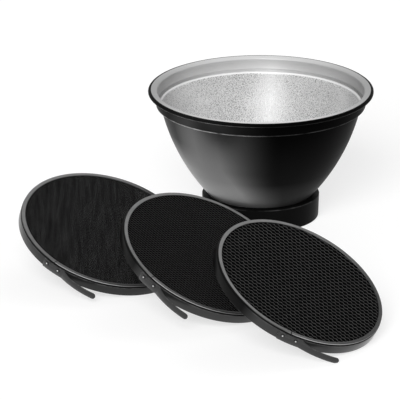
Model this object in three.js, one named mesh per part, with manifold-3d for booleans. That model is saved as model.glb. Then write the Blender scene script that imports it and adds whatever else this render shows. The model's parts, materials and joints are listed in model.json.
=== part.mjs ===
// Bowl reflector for a studio flash, standing on its mounting collar, with its set of three honeycomb grids
// fanned in front of it. Millimetres, +Z up, -Y towards the viewer; the origin is under the middle of the set.
import * as THREE from 'three';
import { mergeVertices } from 'three/addons/utils/BufferGeometryUtils.js';
import Module from 'manifold-3d';

const wasm = await Module();
wasm.setup();

// Shared by every piece
const seatGap = 0.3; // between a piece and what carries it
const holeGap = 0.3; // round a screw or a rivet in its hole
const cutOverrun = 1; // how far a cutter passes the face it cuts
const weldDistance = 0.001;

// Spun bowl: a rolled rim, a recess for a grid, one long arc of wall and a flat floor with the throat
const rimRadius = 90;
const bowlHeight = 105; // of the whole reflector on its collar
const beadHeight = 3.1;
const lipWidth = 7.5; // flat lip from the rim in to the recess
const recessDepth = 11;
const wallThickness = 1.2;
const shelfThickness = 1.6;
const stepWidth = 3.7; // from the recess's outside in to the top of the wall
const wallArcRadius = 163;
const floorWidth = 8.5; // from the wall's foot in to the throat
const lipRound = 1.8;
const stepRound = 0.9;
const ledgeRound = 1.5; // where the shelf turns down into the wall
const footRound = 1.4;

// Collar under the bowl, slightly drafted, with an inner flange that carries the bowl's floor
const collarRadius = 46.9;
const collarHeight = 18.5;
const collarDraft = 0.7;
const collarWall = 2.4;
const flangeThickness = 2.5;
const ledgeWidth = 5.4; // top of the collar outside the wall's foot
const collarTopRound = 0.5;
const collarFootRound = 1.2;

// Three-lug bayonet ring under the flange
const bayonetSetback = 1.2; // behind the throat
const bayonetThickness = 3;
const lugReach = 3.6;
const lugWidth = 20;
const lockNotchRadius = 1.5;

// Clamp ring on the bowl's floor, and the screws that pull ring, floor, flange and bayonet together
const clampSetback = 0.6; // behind the throat
const clampToeGap = 1.5; // short of the wall's foot
const clampThickness = 1.5;
const screwRadius = 1.2;
const screwHeadRadius = 2.6;
const screwHeadHeight = 1.6;
const slotWidth = 0.8;
const slotDepth = 0.7;

// Honeycomb grid: a split channel band, the core that it holds, and a sprung lever riveted over the split
const bandRadius = 69.5;
const bandHeight = 9.3;
const bandWall = 1.1;
const bandRound = 0.5;
const lipThickness = 0.8;
const lipReach = 3.3; // of both lips in from the band's outside
const grooveHeight = 0.9; // under the upper lip
const grooveDepth = 0.7;
const lipInset = 0.4; // the upper lip's edge lies this far inside the band
const splitGap = 0.7;
const coreEdge = 1.2; // least margin round the outermost cells
const coreWall = 0.9; // between two drawn cells

// Lever: one spring strip, its foot riveted to the band and its blade standing off it
const stripHeight = 7.2; // at the foot
const bladeHeight = 5.3; // past the narrowing
const stripThickness = 0.8;
const stripDrop = 1.8; // from the band's top face to the strip's upper edge
const rivetSpacing = 10.7;
const footLead = 4.2; // strip before the first rivet
const bendLead = 4; // strip between the second rivet and the bend
const bladeReach = 33.1; // from the bend to the tip
const bladeInset = 0.8; // the tip lies this far inside the bend
const bladeBow = 2.2;
const bladeNarrowing = 12; // length over which the strip's upper edge comes down
const rivetDrop = 4; // from the band's top face to the rivets' middle
const rivetRadius = 1;
const rivetHeadRadius = 1.6;
const rivetHeadHeight = 0.8;

// Real cell size of each grid, and the middle of its face beside and before the bowl's axis
const fineCell = 1.36;
const mediumCell = 2.7;
const coarseCell = 4.03;
const fineAcross = -121;
const fineForward = 141.8;
const mediumAcross = -42.8;
const mediumForward = 212.8;
const coarseAcross = 28.5;
const coarseForward = 285.9;

// Degrees: where a grid's face leans to, how far it leans, the turn of its split in the ring, and the turn of
// its rows of cells from the split
const fineLie = { facing: -51.6, tilt: 23.4, turn: 286.9, rows: 37 };
const mediumLie = { facing: -39.5, tilt: 28.4, turn: 271.4, rows: 36 };
const coarseLie = { facing: -35.3, tilt: 30.1, turn: 302.4, rows: 8 };

// Counts and shares
const screwCount = 3;
const lugCount = 3;
const fineCells = 8; // real cells across one drawn cell of the core
const mediumCells = 5;
const coarseCells = 4;
const domeShare = 0.8; // of the head's height, for the round of a rivet
const bluntShare = 0.95; // of the tip's radius, where its round ends
const bowlSides = 48;
const ringSides = 48;
const smallSides = 12;
const lugSteps = 4;
const wallSteps = 8;
const roundSteps = 2;
const footSteps = 6;
const bladeSteps = 12;
const tipSteps = 4;

const finishes = {
  bowlBlack: { color: 0x1b1b1c, roughness: 0.42, metalness: 0.35 },
  collarBlack: { color: 0x101011, roughness: 0.5, metalness: 0.1 },
  steel: { color: 0x8d8f92, roughness: 0.35, metalness: 0.9 },
  bandGrey: { color: 0x4a4b4d, roughness: 0.4, metalness: 0.6 },
  coreBlack: { color: 0x0c0c0d, roughness: 0.7, metalness: 0.2 },
  leverGrey: { color: 0x3a3b3d, roughness: 0.4, metalness: 0.6 },
  rivetGrey: { color: 0x77787b, roughness: 0.35, metalness: 0.85 },
};

function piece(name, geometry, finish) {
  const mesh = new THREE.Mesh(geometry, new THREE.MeshStandardMaterial(finishes[finish]));
  mesh.name = name;
  return mesh;
}

function arc(radius, from, to, steps) {
  return Array.from({ length: steps + 1 }, (_, k) => {
    const angle = from + ((to - from) * k) / steps;
    return new THREE.Vector2(radius * Math.cos(angle), radius * Math.sin(angle));
  });
}

function circle(radius, sides) {
  return arc(radius, 0, 2 * Math.PI, sides).slice(1);
}

// Corners are [x, y, radius]; a corner with a radius becomes an arc.
function rounded(corners) {
  const at = (i) => new THREE.Vector2(...corners[(i + corners.length) % corners.length]);
  return corners.flatMap(([x, y, radius = 0], i) => {
    const here = new THREE.Vector2(x, y);
    if (!radius) return [here];
    const back = at(i - 1).sub(here).normalize();
    const onward = at(i + 1).sub(here).normalize();
    const half = Math.acos(back.dot(onward)) / 2;
    const reach = radius / Math.tan(half);
    const centre = back.clone().add(onward).normalize().multiplyScalar(radius / Math.sin(half)).add(here);
    const start = here.clone().addScaledVector(back, reach).sub(centre).angle();
    const end = here.clone().addScaledVector(onward, reach).sub(centre).angle();
    const sweep = Math.atan2(Math.sin(end - start), Math.cos(end - start));
    return arc(radius, start, start + sweep, roundSteps).map((point) => point.add(centre));
  });
}

// A closed outline of (radius, height) turned about +Z.
function turned(outline, sides) {
  return new THREE.LatheGeometry([...outline, outline[0]], sides).rotateX(Math.PI / 2);
}

// A flat outline with holes, raised from height z.
function plate(outline, holes, z, thickness) {
  const shape = new THREE.Shape(outline);
  shape.holes = holes.map((hole) => new THREE.Path(hole));
  return new THREE.ExtrudeGeometry(shape, { depth: thickness, bevelEnabled: false }).translate(0, 0, z);
}

// A round cutter along +Z between two heights.
function rod(radius, low, high) {
  const geometry = new THREE.CylinderGeometry(radius, radius, high - low, smallSides);
  return geometry.rotateX(Math.PI / 2).translate(0, 0, (low + high) / 2);
}

function solidOf(geometry) {
  const bare = geometry.clone();
  bare.deleteAttribute('normal');
  bare.deleteAttribute('uv');
  const merged = mergeVertices(bare, weldDistance);
  const vertProperties = new Float32Array(merged.attributes.position.array);
  const triVerts = new Uint32Array(merged.index.array);
  return new wasm.Manifold(new wasm.Mesh({ numProp: 3, vertProperties, triVerts }));
}

function cut(geometry, cutters) {
  const made = cutters.reduce((solid, cutter) => solid.subtract(solidOf(cutter)), solidOf(geometry)).getMesh();
  const result = new THREE.BufferGeometry();
  result.setAttribute('position', new THREE.BufferAttribute(new Float32Array(made.vertProperties), 3));
  result.setIndex(new THREE.BufferAttribute(new Uint32Array(made.triVerts), 1));
  return result;
}

// Heights of the stack on the collar, and the radii that its pieces share
const floorLow = collarHeight + seatGap;
const floorHigh = floorLow + wallThickness;
const clampLow = floorHigh + seatGap;
const clampHigh = clampLow + clampThickness;
const flangeLow = collarHeight - flangeThickness;
const bayonetHigh = flangeLow - seatGap;
const bayonetLow = bayonetHigh - bayonetThickness;
const shelfHigh = bowlHeight - recessDepth;
const shelfLow = shelfHigh - shelfThickness;
const recessRadius = rimRadius - lipWidth;
const bandOuter = recessRadius + wallThickness;
const wallTopRadius = bandOuter - stepWidth;
const wallFootRadius = collarRadius - ledgeWidth;
const throatRadius = wallFootRadius - floorWidth;
const boreRadius = collarRadius - collarDraft - collarWall;
const innerArcRadius = wallArcRadius - wallThickness;

// The wall's outside is an arc through its foot and its top; its inside is the same arc less the wall.
function arcMiddle() {
  const foot = new THREE.Vector2(wallFootRadius, floorLow);
  const top = new THREE.Vector2(wallTopRadius, shelfLow);
  const chord = top.clone().sub(foot);
  const inward = new THREE.Vector2(-chord.y, chord.x).normalize();
  const drop = Math.sqrt(wallArcRadius ** 2 - chord.lengthSq() / 4);
  return foot.add(top).divideScalar(2).addScaledVector(inward, drop);
}

const wallCentre = arcMiddle();

function wallRadius(z, arcRadius) {
  return wallCentre.x + Math.sqrt(arcRadius ** 2 - (z - wallCentre.y) ** 2);
}

function wallPoints(arcRadius, low, high) {
  return Array.from({ length: wallSteps - 1 }, (_, k) => {
    const z = low + ((high - low) * (k + 1)) / wallSteps;
    return [wallRadius(z, arcRadius), z];
  });
}

const clampInner = throatRadius + clampSetback;
const clampOuter = wallRadius(floorHigh, innerArcRadius) - clampToeGap;
const screwCircle = (clampInner + clampOuter) / 2;

// The screws stand between the bayonet's lugs.
function aroundScrews(make) {
  return Array.from({ length: screwCount }, (_, k) => {
    const angle = (2 * Math.PI * (k + 0.5)) / screwCount;
    return make().translate(screwCircle * Math.cos(angle), screwCircle * Math.sin(angle), 0);
  });
}

function screwHoles() {
  return aroundScrews(() => rod(screwRadius + holeGap, bayonetLow - cutOverrun, clampHigh + cutOverrun));
}

function reflectorBowl() {
  const beadLow = bowlHeight - beadHeight;
  const outline = rounded([
    [throatRadius, floorLow],
    [wallFootRadius, floorLow, footRound],
    ...wallPoints(wallArcRadius, floorLow, shelfLow),
    [wallTopRadius, shelfLow],
    [bandOuter, shelfLow, stepRound],
    [bandOuter, beadLow],
    [rimRadius, beadLow, beadHeight / 2],
    [rimRadius, bowlHeight, beadHeight / 2],
    [recessRadius, bowlHeight, lipRound],
    [recessRadius, shelfHigh],
    [wallRadius(shelfHigh, innerArcRadius), shelfHigh, ledgeRound],
    ...wallPoints(innerArcRadius, floorHigh, shelfHigh).reverse(),
    [wallRadius(floorHigh, innerArcRadius), floorHigh, footRound],
    [throatRadius, floorHigh],
  ]);
  return cut(turned(outline, bowlSides), screwHoles());
}

function baseCollar() {
  const outline = rounded([
    [boreRadius, 0],
    [collarRadius - collarDraft, 0, collarFootRound],
    [collarRadius, collarHeight, collarTopRound],
    [throatRadius, collarHeight],
    [throatRadius, flangeLow],
    [boreRadius, flangeLow],
  ]);
  return cut(turned(outline, bowlSides), screwHoles());
}

function bayonetRing() {
  const innerRadius = throatRadius + bayonetSetback;
  const lugRadius = innerRadius - lugReach;
  const halfLug = lugWidth / 2 / lugRadius;
  const bore = Array.from({ length: lugCount }, (_, lug) => {
    const here = (2 * Math.PI * lug) / lugCount;
    const next = (2 * Math.PI * (lug + 1)) / lugCount;
    const lugArc = arc(lugRadius, here - halfLug, here + halfLug, lugSteps);
    return [...lugArc, ...arc(innerRadius, here + halfLug, next - halfLug, 2 * lugSteps)];
  }).flat();
  const outer = circle(boreRadius - seatGap, ringSides);
  const lockNotch = rod(lockNotchRadius, bayonetLow - cutOverrun, bayonetHigh + cutOverrun);
  const cutters = [lockNotch.translate(lugRadius, 0, 0), ...screwHoles()];
  return cut(plate(outer, [bore], bayonetLow, bayonetThickness), cutters);
}

function clampRing() {
  const ring = plate(circle(clampOuter, ringSides), [circle(clampInner, ringSides)], clampLow, clampThickness);
  return cut(ring, screwHoles());
}

// A slotted pan head, on a shank that ends level with the bayonet ring's lower face.
function clampScrew() {
  const headLow = clampHigh + seatGap;
  const headHigh = headLow + screwHeadHeight;
  const outline = rounded([
    [0, bayonetLow],
    [screwRadius, bayonetLow],
    [screwRadius, headLow],
    [screwHeadRadius, headLow],
    [screwHeadRadius, headHigh, screwHeadHeight / 2],
    [0, headHigh],
  ]);
  const slot = new THREE.BoxGeometry(2 * (screwHeadRadius + cutOverrun), slotWidth, 2 * slotDepth);
  return cut(turned(outline, smallSides), [slot.translate(0, 0, headHigh)]);
}

function reflector() {
  const group = new THREE.Group();
  group.add(
    piece('reflector_bowl', reflectorBowl(), 'bowlBlack'),
    piece('base_collar', baseCollar(), 'collarBlack'),
    piece('bayonet_ring', bayonetRing(), 'steel'),
    piece('clamp_ring', clampRing(), 'steel'),
    ...aroundScrews(clampScrew).map((geometry, k) => piece(`clamp_screw_${k + 1}`, geometry, 'steel')),
  );
  return group;
}

// A grid's own frame has its upper face at height 0 and the split of its band on +X.
const bandInner = bandRadius - bandWall;
const lipInner = bandRadius - lipReach;
const footRadius = bandRadius + seatGap; // inner face of the lever's foot
const stripRadius = footRadius + stripThickness / 2; // its middle line
const stripLow = -stripDrop - stripHeight;
const rivetAngle = Math.asin(rivetSpacing / 2 / footRadius);
const bendAngle = rivetAngle + bendLead / footRadius;

// Turns a shape drawn up +Z so that it points out of the ring at a rivet.
function atRivet(geometry, side) {
  return geometry.rotateY(Math.PI / 2).translate(0, 0, -rivetDrop).rotateZ(side * rivetAngle);
}

function rivetHoles() {
  const outer = footRadius + stripThickness + cutOverrun;
  return [-1, 1].map((side) => atRivet(rod(rivetRadius + holeGap, lipInner, outer), side));
}

function gridBand() {
  const shoulder = -lipThickness - grooveHeight;
  const outline = rounded([
    [lipInner, 0],
    [lipInner, -lipThickness],
    [bandInner, -lipThickness],
    [bandInner, lipThickness - bandHeight],
    [lipInner, lipThickness - bandHeight],
    [lipInner, -bandHeight],
    [bandRadius, -bandHeight, bandRound],
    [bandRadius, shoulder],
    [bandRadius - grooveDepth, shoulder],
    [bandRadius - grooveDepth, -lipThickness],
    [bandRadius - lipInset, -lipThickness],
    [bandRadius - lipInset, 0],
  ]);
  const split = new THREE.BoxGeometry(bandRadius, splitGap, 2 * bandHeight + cutOverrun);
  return cut(turned(outline, ringSides), [split.translate(bandRadius, 0, 0), ...rivetHoles()]);
}

// Hexagonal cells through the whole core, as many as lie inside its edge.
function gridCore(pitch, rowTurn) {
  const radius = bandInner - seatGap;
  const low = lipThickness + seatGap - bandHeight;
  const hexRadius = (pitch - coreWall) / Math.sqrt(3);
  const rows = Math.ceil((2 * radius) / pitch);
  const cells = [];
  for (let row = -rows; row <= rows; row += 1) {
    for (let column = -rows; column <= rows; column += 1) {
      const centre = new THREE.Vector2(pitch * (column + row / 2), (pitch * row * Math.sqrt(3)) / 2);
      if (centre.length() + hexRadius + coreEdge > radius) continue;
      const corners = arc(hexRadius, Math.PI / 6, (11 * Math.PI) / 6, 5);
      cells.push(corners.map((corner) => corner.add(centre)));
    }
  }
  const turn = THREE.MathUtils.degToRad(rowTurn);
  cells.flat().forEach((corner) => corner.rotateAround(new THREE.Vector2(), turn));
  return plate(circle(radius, ringSides), cells, low, -lipThickness - seatGap - low);
}

// A strip on edge: each station has a point of its middle line, its outward side and its two edges' heights.
function strip(stations) {
  const position = stations.flatMap(({ point, outward, low, high }) => {
    const near = point.clone().addScaledVector(outward, -stripThickness / 2);
    const far = point.clone().addScaledVector(outward, stripThickness / 2);
    return [near.x, near.y, low, far.x, far.y, low, far.x, far.y, high, near.x, near.y, high];
  });
  const index = [];
  const quad = (a, b, c, d) => index.push(a, b, c, a, c, d);
  const last = 4 * (stations.length - 1);
  for (let s = 0; s < last; s += 4) {
    for (let k = 0; k < 4; k += 1) {
      const next = (k + 1) % 4;
      quad(s + k, s + 4 + k, s + 4 + next, s + next);
    }
  }
  quad(0, 1, 2, 3);
  quad(last + 3, last + 2, last + 1, last);
  const geometry = new THREE.BufferGeometry();
  geometry.setAttribute('position', new THREE.Float32BufferAttribute(position, 3));
  geometry.setIndex(index);
  return geometry;
}

function leverFoot() {
  const start = -rivetAngle - footLead / footRadius;
  const end = bendAngle - seatGap / footRadius;
  const stations = arc(stripRadius, start, end, footSteps).map((point) => {
    return { point, outward: point.clone().normalize(), low: stripLow, high: stripLow + stripHeight };
  });
  return cut(strip(stations), rivetHoles());
}

// The blade leaves the bend in one shallow bow, narrows from above and ends in a round tip.
function leverBlade() {
  const bend = new THREE.Vector2(Math.cos(bendAngle), Math.sin(bendAngle)).multiplyScalar(stripRadius);
  const tip = new THREE.Vector2(bend.x - bladeInset, bend.y + bladeReach);
  const bow = new THREE.Vector2((bend.x + tip.x) / 2 + 2 * bladeBow, (bend.y + tip.y) / 2);
  const line = new THREE.QuadraticBezierCurve(bend, bow, tip);
  const tipShare = bladeHeight / 2 / bladeReach;
  const station = (share, roundShare) => {
    const tangent = line.getTangent(share);
    const eased = THREE.MathUtils.smoothstep(share * bladeReach, 0, bladeNarrowing);
    const whole = THREE.MathUtils.lerp(stripHeight, bladeHeight, eased);
    const half = (whole / 2) * Math.sqrt(1 - roundShare ** 2);
    const low = stripLow + whole / 2 - half;
    const outward = new THREE.Vector2(tangent.y, -tangent.x);
    return { point: line.getPoint(share), outward, low, high: low + 2 * half };
  };
  const stations = [];
  for (let k = 0; k <= bladeSteps; k += 1) {
    stations.push(station(((1 - tipShare) * k) / bladeSteps, 0));
  }
  for (let k = 1; k <= tipSteps; k += 1) {
    const roundShare = bluntShare * Math.sin((Math.PI * k) / (2 * tipSteps));
    stations.push(station(1 - tipShare * (1 - roundShare), roundShare));
  }
  return strip(stations);
}

// A domed head outside the foot, on a shank that ends flush inside the band.
function rivet(side) {
  const headLow = footRadius + stripThickness + seatGap;
  const headHigh = headLow + rivetHeadHeight;
  const outline = rounded([
    [0, bandInner],
    [rivetRadius, bandInner],
    [rivetRadius, headLow],
    [rivetHeadRadius, headLow],
    [rivetHeadRadius, headHigh, rivetHeadHeight * domeShare],
    [0, headHigh],
  ]);
  return atRivet(turned(outline, smallSides), side);
}

// A grid as it lies, with its lowest point on the ground.
function grid(name, pitch, lie, across, forward) {
  const spun = new THREE.Group();
  spun.rotation.z = THREE.MathUtils.degToRad(lie.turn);
  spun.add(
    piece(`grid_${name}_band`, gridBand(), 'bandGrey'),
    piece(`grid_${name}_core`, gridCore(pitch, lie.rows), 'coreBlack'),
    piece(`grid_${name}_lever_foot`, leverFoot(), 'leverGrey'),
    piece(`grid_${name}_lever_blade`, leverBlade(), 'leverGrey'),
    piece(`grid_${name}_rivet_1`, rivet(-1), 'rivetGrey'),
    piece(`grid_${name}_rivet_2`, rivet(1), 'rivetGrey'),
  );
  const tilted = new THREE.Group();
  tilted.rotation.y = THREE.MathUtils.degToRad(lie.tilt);
  tilted.add(spun);
  const placed = new THREE.Group();
  placed.rotation.z = THREE.MathUtils.degToRad(lie.facing);
  placed.add(tilted);
  placed.position.set(across, -forward, -new THREE.Box3().setFromObject(placed, true).min.z);
  return placed;
}

const set = new THREE.Group();
set.add(
  reflector(),
  grid('fine', fineCell * fineCells, fineLie, fineAcross, fineForward),
  grid('medium', mediumCell * mediumCells, mediumLie, mediumAcross, mediumForward),
  grid('coarse', coarseCell * coarseCells, coarseLie, coarseAcross, coarseForward),
);
const extent = new THREE.Box3().setFromObject(set, true);
const middle = extent.getCenter(new THREE.Vector3());
set.position.set(-middle.x, -middle.y, -extent.min.z);

const model = new THREE.Group();
model.add(set);
export default model;
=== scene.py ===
import json
import math
import random

import bmesh
import bpy
from mathutils import Matrix, Vector


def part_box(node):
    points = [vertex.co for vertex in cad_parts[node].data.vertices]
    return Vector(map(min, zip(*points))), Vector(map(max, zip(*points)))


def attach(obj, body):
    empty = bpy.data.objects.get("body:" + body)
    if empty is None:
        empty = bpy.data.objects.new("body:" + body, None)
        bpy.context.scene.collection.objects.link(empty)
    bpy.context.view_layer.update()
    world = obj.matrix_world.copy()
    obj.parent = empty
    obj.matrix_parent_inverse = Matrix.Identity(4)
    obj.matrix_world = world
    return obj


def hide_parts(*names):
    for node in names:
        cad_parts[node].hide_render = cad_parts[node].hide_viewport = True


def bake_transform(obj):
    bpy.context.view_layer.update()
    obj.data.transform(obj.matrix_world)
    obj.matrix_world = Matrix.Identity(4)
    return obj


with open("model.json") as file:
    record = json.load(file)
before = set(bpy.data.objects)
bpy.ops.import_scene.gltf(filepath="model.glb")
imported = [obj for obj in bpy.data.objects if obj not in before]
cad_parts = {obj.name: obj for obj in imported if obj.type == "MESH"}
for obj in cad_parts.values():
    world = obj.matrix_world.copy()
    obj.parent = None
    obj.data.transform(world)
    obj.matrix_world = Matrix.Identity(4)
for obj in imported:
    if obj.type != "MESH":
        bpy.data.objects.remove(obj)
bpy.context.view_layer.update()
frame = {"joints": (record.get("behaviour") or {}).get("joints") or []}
mm = 0.001
bpy.context.scene.view_settings.view_transform = "Standard"

# The view of the photograph: a long lens, well back and a little above the set
photoView = {
    "lens": 720.0,
    "frameWidth": 36.0,
    "place": (0.94, -5932.90, 2082.20),
    "down": 18.8506,
}

cameraData = bpy.data.cameras.new("photoCamera")
cameraData.lens = photoView["lens"]
cameraData.sensor_width = photoView["frameWidth"]
cameraData.clip_start = 0.5
cameraData.clip_end = 60.0
camera = bpy.data.objects.new("photoCamera", cameraData)
camera.location = Vector(photoView["place"]) * mm
camera.rotation_euler = (math.radians(90 - photoView["down"]), 0, 0)
bpy.context.collection.objects.link(camera)
bpy.context.scene.camera = camera
print("camera placed")


# A node's output, on which plain arithmetic adds Math nodes
class Wire:
    def __init__(self, finish, socket):
        self.finish, self.socket = finish, socket

    def calc(self, operation, *terms):
        return self.finish.add("Math", {"operation": operation}, dict(enumerate(terms)))

    def __add__(self, other):
        return self.calc("ADD", self, other)

    def __sub__(self, other):
        return self.calc("SUBTRACT", self, other)

    def __rsub__(self, other):
        return self.calc("SUBTRACT", other, self)

    def __mul__(self, other):
        return self.calc("MULTIPLY", self, other)

    def __truediv__(self, other):
        return self.calc("DIVIDE", self, other)

    def __pow__(self, other):
        return self.calc("POWER", self, other)

    def atMost(self, other):
        return self.calc("MINIMUM", self, other)

    def atLeast(self, other):
        return self.calc("MAXIMUM", self, other)

    # 1 at a place, falling to 0 at a distance from it
    def near(self, place, reach):
        distance = self.calc("ABSOLUTE", self - place)
        return (1 - distance / reach).atLeast(0.0)

    def fit(self, low, high, newLow=0.0, newHigh=1.0):
        ends = {"From Min": low, "From Max": high, "To Min": newLow, "To Max": newHigh}
        return self.finish.add("MapRange", {"clamp": True}, {"Value": self, **ends})

    __radd__ = __add__
    __rmul__ = __mul__


# One material, world or light tree, built node by node
class Finish:
    def __init__(self, name, owner=None):
        self.owner = owner or bpy.data.materials.new(name)
        self.owner.use_nodes = True
        self.tree = self.owner.node_tree
        self.tree.nodes.clear()

    def add(self, kind, settings=None, sockets=None, output=0):
        node = self.tree.nodes.new("ShaderNode" + kind)
        for name, value in (settings or {}).items():
            setattr(node, name, value)
        for key, value in (sockets or {}).items():
            if isinstance(value, Wire):
                self.tree.links.new(value.socket, node.inputs[key])
            else:
                node.inputs[key].default_value = value
        return Wire(self, node.outputs[output]) if node.outputs else None

    # the piece's own places in millimetres, as makePiece stores them
    def place(self):
        return self.add("Attribute", {"attribute_name": "ownPlace"}, output=1)

    def parts(self, vector):
        return [self.add("SeparateXYZ", None, {0: vector}, k) for k in range(3)]

    # the same place, its parts, and the distance from the piece's own axis
    def ownParts(self):
        spot = self.place()
        x, y, z = self.parts(spot)
        return spot, x, y, z, (x * x + y * y) ** 0.5

    def vector(self, x, y, z=0.0):
        return self.add("CombineXYZ", None, {"X": x, "Y": y, "Z": z})

    def noise(self, vector, scale, detail, rough=0.5):
        sockets = {"Vector": vector, "Scale": scale, "Detail": detail, "Roughness": rough}
        return self.add("TexNoise", None, sockets)

    def shade(self, factor, low, high):
        return self.blend(factor, (*low, 1), high)

    def blend(self, factor, low, high):
        return self.add("Mix", {"data_type": "RGBA"}, {0: factor, 6: low, 7: (*high, 1)}, 2)

    def bump(self, height, distance, strength=1.0, normal=None):
        sockets = {"Height": height, "Distance": distance * mm, "Strength": strength}
        if normal:
            sockets["Normal"] = normal
        return self.add("Bump", None, sockets)

    def surface(self, sockets):
        shader = self.add("BsdfPrincipled", None, sockets)
        self.add("OutputMaterial", None, {"Surface": shader})
        return self.owner


def grey(level):
    return (level, level, level)


# In the finishes a span is for fit: from, to and, where given, the values at both. Sizes are in millimetres.

# Satin black coat outside the bowl, over faint spinning marks. It has painted highlights along its two
# creases on the left, paler painted light towards the foot, a painted highlight at the foot, and a painted
# sheen in its coat on the left and behind, weaker towards the left edge of its upper part.
bowlCoat = {
    "dark": 0.0006, "pale": 0.009, "toneSpan": (86, 26), "cloud": 0.05, "cloudSpan": (0.3, 0.7, 0.8, 1.0),
    "rough": 0.40, "cloudRough": 0.12, "ringRough": 0.08, "level": 0.015, "grain": 2.2, "grainDepth": 0.012,
    "rings": (0.9, 0.02), "ringDepth": 0.02, "ringStrength": 0.5,  # rings per mm of height and of radius
    "creases": ((102.0, 0.8), (92.8, 0.8)), "creaseSpan": (-4, 34, 0.08, 1.0), "edgeHighlightTone": 0.95,
    "highlightNoise": 0.08, "highlightNoiseSpan": (0.3, 0.7),
    "side": (-0.78, -0.63), "sideSpan": (0.43, 0.92), "lowSpan": (55, 20, 0.0, 0.14), "power": 3.0,
    "fallSpan": (92, 62, 0.7, 1.0), "stepSpan": (93, 92, 0.35, 1.0), "beadSpan": (102.2, 101.8, 0.2, 1.0),
    "edgeHeight": (50, 74), "edgeSpan": (-0.72, -0.48), "edgeShare": 0.8,
    "sheenRough": 0.38, "sheenIor": 2.6, "behind": 0.30, "behindSpan": (0.1, 0.9),
    "footHighlightTone": 0.15, "footSpan": (44, 24), "footShares": (0.75, 0.25),
}


def bowlCoatFinish():
    f, look = Finish("bowlCoat"), bowlCoat
    spot, x, y, height, radius = f.ownParts()
    cloud = f.noise(spot, look["cloud"], 3)
    grain = f.noise(spot, look["grain"], 2)
    rings = f.noise(f.vector(height * look["rings"][0], radius * look["rings"][1]), 1.0, 2)
    # Painted highlights along the two creases, on the left side only, broken up by noise
    highlightNoise = f.noise(spot, look["highlightNoise"], 4, 0.6).fit(*look["highlightNoiseSpan"])
    upper, lower = [height.near(place, reach) for place, reach in look["creases"]]
    edgeHighlight = (upper + lower) * highlightNoise * (x * -1).fit(*look["creaseSpan"])
    # Painted sheen in the coat weight: strongest on the left-front side, reaching further round low down,
    # added behind, and weaker near the left edge of the upper part
    facing = (x * look["side"][0] + y * look["side"][1]) / radius
    paintedSheenSide = (facing + height.fit(*look["lowSpan"])).fit(*look["sideSpan"])
    behind = (y / radius).fit(*look["behindSpan"]) * look["behind"]
    turned = height.fit(*look["edgeHeight"]) * (y / radius).fit(*look["edgeSpan"])
    # Painted light: the colour is paler towards the foot, with a painted highlight at the foot that is
    # strongest on the left
    foot = height.fit(*look["footSpan"]) * (paintedSheenSide * look["footShares"][0] + look["footShares"][1])
    low = height.fit(*look["toneSpan"]) * cloud.fit(*look["cloudSpan"])
    tone = f.shade(low, grey(look["dark"]), grey(look["pale"]))
    tone = f.blend(foot, tone, grey(look["footHighlightTone"]))
    sheen = paintedSheenSide ** look["power"] * height.fit(*look["fallSpan"]) * (1 - turned * look["edgeShare"])
    sheen = (sheen + behind) * height.fit(*look["stepSpan"]) * height.fit(*look["beadSpan"])
    normal = f.bump(grain, look["grainDepth"])
    return f.surface({
        "Base Color": f.blend(edgeHighlight, tone, grey(look["edgeHighlightTone"])),
        "Roughness": look["rough"] + (cloud - 0.5) * look["cloudRough"] + (rings - 0.5) * look["ringRough"],
        "Specular IOR Level": look["level"],
        "Coat Weight": sheen,
        "Coat Roughness": look["sheenRough"],
        "Coat IOR": look["sheenIor"],
        "Normal": f.bump(rings, look["ringDepth"], look["ringStrength"], normal),
    })


# Spun aluminium of the lip and recess, with painted shade towards the sides across the axis; the ledge's edge
# is paler as a painted highlight.
spunSilver = {
    "dark": 0.78, "pale": 0.94, "sideShadeTone": 0.42, "rough": 0.40, "metal": 1.0,
    "ringPitch": 1.6, "ringDepth": 0.02,
}
# The ledge's edge: a paler, less metallic finish, a painted highlight
ledgeHighlightSilver = {
    "dark": 0.90, "pale": 1.0, "sideShadeTone": 0.70, "rough": 0.34, "metal": 0.5,
    "ringPitch": 1.6, "ringDepth": 0.01,
}

# Turned steel of the bayonet ring, the clamp ring and the screws
turnedSteel = {
    "dark": 0.36, "pale": 0.50, "sideShadeTone": 0.42, "rough": 0.28, "metal": 1.0,
    "ringPitch": 3.0, "ringDepth": 0.01,
}

# Common to all three
turnedMetal = {"cloud": 0.04, "cloudShare": 0.6, "ringShare": 0.4, "cloudRough": 0.15}


def spunFinish(name, look):
    f = Finish(name)
    spot, x, _, height, radius = f.ownParts()
    rings = f.noise(f.vector(radius, height), look["ringPitch"], 3, 0.6)
    cloud = f.noise(spot, turnedMetal["cloud"], 3)
    marks = cloud * turnedMetal["cloudShare"] + rings * turnedMetal["ringShare"]
    tone = f.shade(marks, grey(look["dark"]), grey(look["pale"]))
    # Painted shade: darker towards the sides across the axis
    paintedSideShade = (x / radius) ** 2.0
    return f.surface({
        "Base Color": f.blend(paintedSideShade, tone, grey(look["sideShadeTone"])),
        "Metallic": look["metal"],
        "Roughness": look["rough"] + (cloud - 0.5) * turnedMetal["cloudRough"],
        "Normal": f.bump(rings, look["ringDepth"]),
    })


# Pebbled silver of the bowl's inside, with painted shade towards the sides across the axis and a painted
# highlight strip of even tone up the back wall
pebbleSilver = {
    "dark": 0.34, "pale": 1.0, "sideShadeTone": 0.56, "sideShadeShare": 0.4, "rough": 0.30, "fineRough": 0.2,
    "grain": 1.6, "softness": 0.6, "fine": 1.9, "warp": 0.5, "cloud": 0.03, "depth": 0.12,
    "heights": (0.8, 0.6, 0.3),  # shares of pebble, fine and warp
    "tones": (-1.0, 1.8, 0.4),  # shares of pebble, fine and cloud
    "toneSpan": (0.22, 0.74),
    "strip": (8.0, 20.0), "stripSide": (0, 10), "stripShare": 0.8, "stripTone": 0.80,
}


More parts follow.
